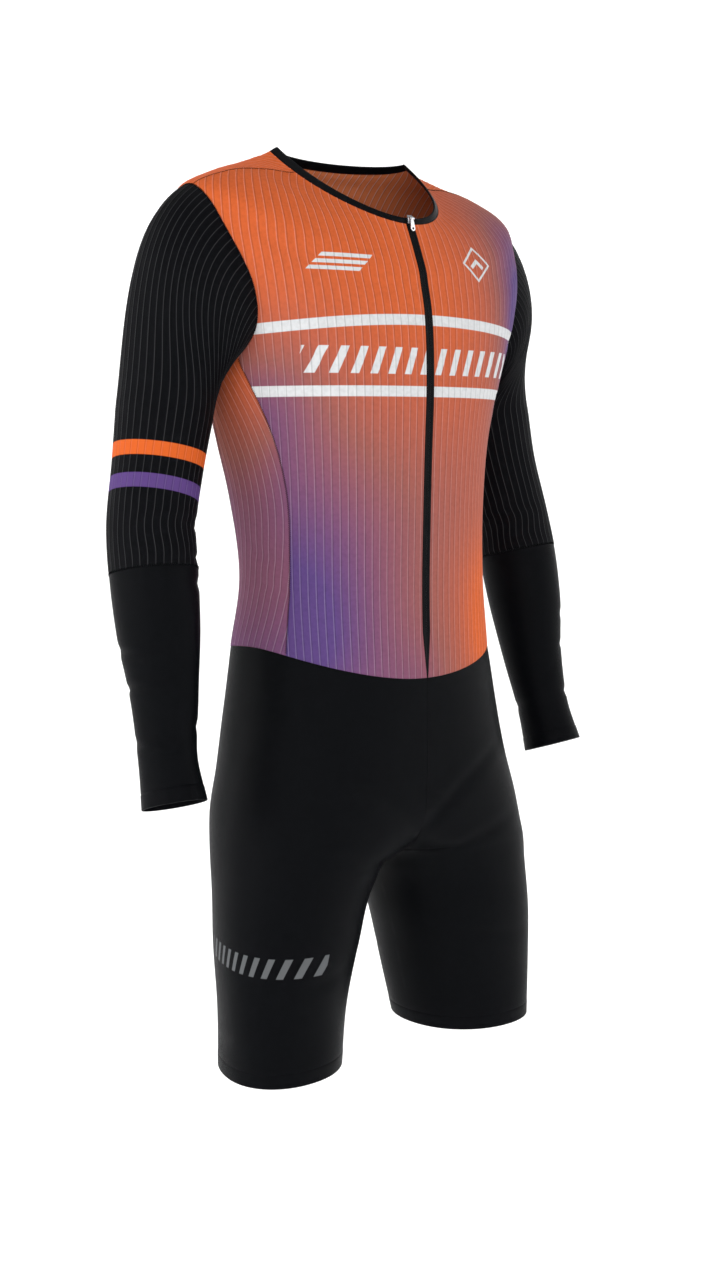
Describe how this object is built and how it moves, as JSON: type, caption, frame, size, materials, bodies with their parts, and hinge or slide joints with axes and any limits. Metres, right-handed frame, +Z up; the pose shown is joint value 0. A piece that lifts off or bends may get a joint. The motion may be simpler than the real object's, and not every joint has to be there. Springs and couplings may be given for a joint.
{
  "type": "skinsuit",
  "caption": "Long-sleeved one-piece cycling suit with short legs, ribbed panels and a full front zip, hollow and filled out as worn.",
  "frame": {"origin": "centre of the neck opening at the height of the shoulders, where the wearer's shoulders carry the suit", "axes": "+Z up the body, -Y out of the front, +X towards the wearer's left"},
  "size_m": [0.5612, 0.2157, 0.8978],
  "materials": {
    "orange_cloth": "ribbed knit printed with a soft orange to violet fade",
    "mauve_cloth": "ribbed knit printed with a soft orange to violet fade",
    "black_cloth": "satin stretch knit",
    "black_binding": "folded stretch binding",
    "black_zip": "woven zip tape with a closed coil",
    "bright_metal": "bright plated metal"
  },
  "bodies": {
    "garment": {"front_left": "orange_cloth", "front_right": "orange_cloth", "side_left": "mauve_cloth", "side_right": "mauve_cloth", "back": "mauve_cloth", "sleeve_upper_left": "black_cloth", "sleeve_upper_right": "black_cloth", "sleeve_lower_left": "black_cloth", "sleeve_lower_right": "black_cloth", "shorts_left": "black_cloth", "shorts_right": "black_cloth", "neck_binding": "black_binding", "zip_tape": "black_zip", "zip_slider": "bright_metal"},
    "pull": {"zip_pull": "bright_metal"}
  },
  "joints": [
    {"name": "zip_pull_hinge", "type": "hinge", "parent": "garment", "child": "pull", "pos_m": [0, -0.07741, -0.06358], "axis": [-1, 0, 0], "range_deg": [0, 160]}
  ]
}
